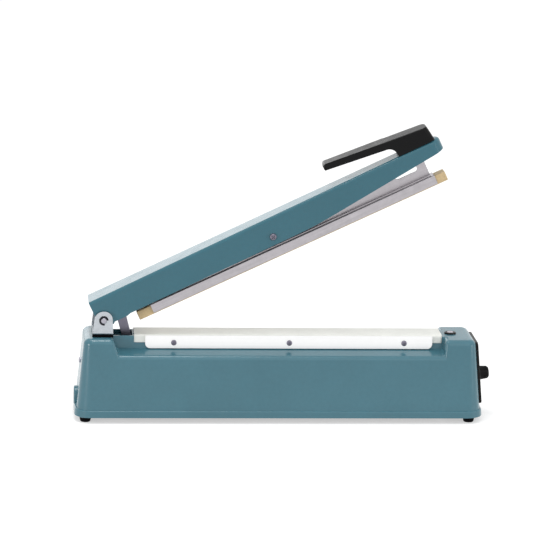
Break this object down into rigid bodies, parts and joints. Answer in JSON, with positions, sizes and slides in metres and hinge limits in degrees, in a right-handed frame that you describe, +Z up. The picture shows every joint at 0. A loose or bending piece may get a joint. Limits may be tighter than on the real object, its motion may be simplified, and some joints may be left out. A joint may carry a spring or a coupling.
{
  "type": "heat sealer",
  "caption": "Bench impulse heat sealer: a long moulded base with a heated ridge and a sprung hinged arm with a handle and a silicone-faced pressure bar.",
  "frame": {"origin": "on the bench under the middle of the machine's box, arm open", "axes": "+X from the hinge end to the control panel, +Y to the back, +Z up"},
  "size_m": [0.4561, 0.088, 0.322],
  "materials": {
    "base_paint": "glossy teal paint",
    "arm_paint": "glossy teal paint",
    "plated_steel": "zinc plated, satin",
    "dark_steel": "dark oxide",
    "bar_aluminium": "satin",
    "strip_aluminium": "satin white",
    "black_plastic": "fine grain",
    "white_plastic": "smooth",
    "foot_rubber": "matte",
    "silicone": "tan silicone",
    "release_cloth": "coated glass cloth",
    "phenolic": "laminate",
    "copper_winding": "varnished wire",
    "brass": "plain",
    "board": "solder resist",
    "lamp_lens": "clear red"
  },
  "bodies": {
    "base": {"base_housing": "base_paint", "bottom_plate": "dark_steel", "bottom_screws": "plated_steel", "rubber_feet": "foot_rubber", "cord_gland": "black_plastic", "end_screw": "plated_steel", "control_panel": "black_plastic", "indicator_lamp": "lamp_lens", "timer_pot": "dark_steel", "pot_nut": "plated_steel", "timer_board": "board", "board_parts": "black_plastic", "transformer_core": "dark_steel", "transformer_coil": "copper_winding", "transformer_strap": "plated_steel", "strap_screws": "plated_steel", "switch_bezel": "black_plastic", "switch_body": "black_plastic", "switch_bracket": "plated_steel", "element_bed": "phenolic", "heating_element": "plated_steel", "element_terminals": "brass", "release_cloth": "release_cloth", "front_cloth_strip": "strip_aluminium", "rear_cloth_strip": "strip_aluminium", "cloth_strip_screws": "plated_steel", "bracket_gasket": "foot_rubber", "hinge_bracket": "plated_steel", "bracket_screws": "plated_steel", "hinge_pin": "plated_steel", "pin_clips": "dark_steel", "hinge_washers": "white_plastic", "return_spring": "plated_steel", "spring_anchor": "plated_steel", "anchor_screw": "plated_steel"},
    "arm": {"arm_shell": "arm_paint", "lift_tongue": "plated_steel", "handle": "black_plastic", "handle_screws": "plated_steel", "pivot_bolt": "plated_steel", "pivot_nut": "plated_steel", "pivot_spacers": "plated_steel"},
    "pressure_bar": {"bar_carrier": "bar_aluminium", "bar_channel": "bar_aluminium", "silicone_strip": "silicone"},
    "button": {"switch_button": "white_plastic"},
    "knob": {"timer_knob": "black_plastic", "knob_shaft": "plated_steel"}
  },
  "joints": [
    {"name": "arm_hinge", "type": "hinge", "parent": "base", "child": "arm", "pos_m": [-0.197, 0, 0.1095], "axis": [0, 1, 0], "range_deg": [0, 24.25], "stiffness_Nm_per_rad": 5, "springref_deg": -34.38, "deforming": ["return_spring"]},
    {"name": "bar_rock", "type": "hinge", "parent": "arm", "child": "pressure_bar", "pos_m": [-0.01608, 0, 0.20164], "axis": [0, 1, 0], "range_deg": [0, 1.25]},
    {"name": "switch_press", "type": "slide", "parent": "base", "child": "button", "axis": [0, 0, -1], "range_m": [0, 0.002], "stiffness_N_per_m": 600, "springref_m": -0.002},
    {"name": "knob_turn", "type": "hinge", "parent": "base", "child": "knob", "pos_m": [0.21138, 0, 0.046], "axis": [0.9953, 0, 0.0969], "range_deg": [-135, 135]}
  ],
  "couplings": [
    {"joint": "bar_rock", "follows": "arm_hinge", "ratio": 0.051546}
  ]
}
